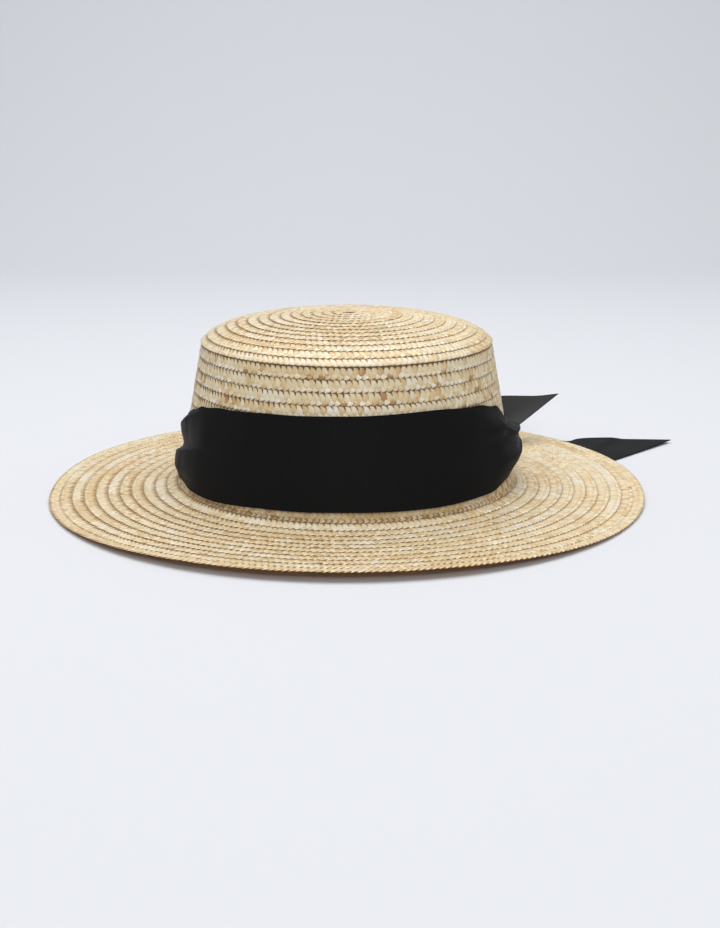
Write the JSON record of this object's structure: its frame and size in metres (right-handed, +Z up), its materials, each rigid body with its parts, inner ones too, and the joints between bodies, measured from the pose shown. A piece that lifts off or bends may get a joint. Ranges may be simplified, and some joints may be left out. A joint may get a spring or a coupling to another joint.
{
  "type": "straw boater hat",
  "caption": "Plaited straw boater hat with a flat wide brim, a straight crown with a shallow domed tip, and a wide black satin ribbon knotted at the back with two loose tails.",
  "frame": {"origin": "middle of the head opening, at the level of the surface that the brim rests on", "axes": "+Z up through the crown, -Y to the front of the hat, +X to the side where the ribbon tails lie"},
  "size_m": [0.3628, 0.338, 0.0996],
  "materials": {
    "plaited_straw": "natural wheat straw plait, semi-gloss",
    "black_satin": "black satin ribbon, soft sheen"
  },
  "bodies": {
    "root": {"crown_tip": "plaited_straw", "crown_side": "plaited_straw", "brim": "plaited_straw", "ribbon_band": "black_satin", "ribbon_knot": "black_satin", "ribbon_tail_upper": "black_satin", "ribbon_tail_lower": "black_satin"}
  },
  "joints": []
}
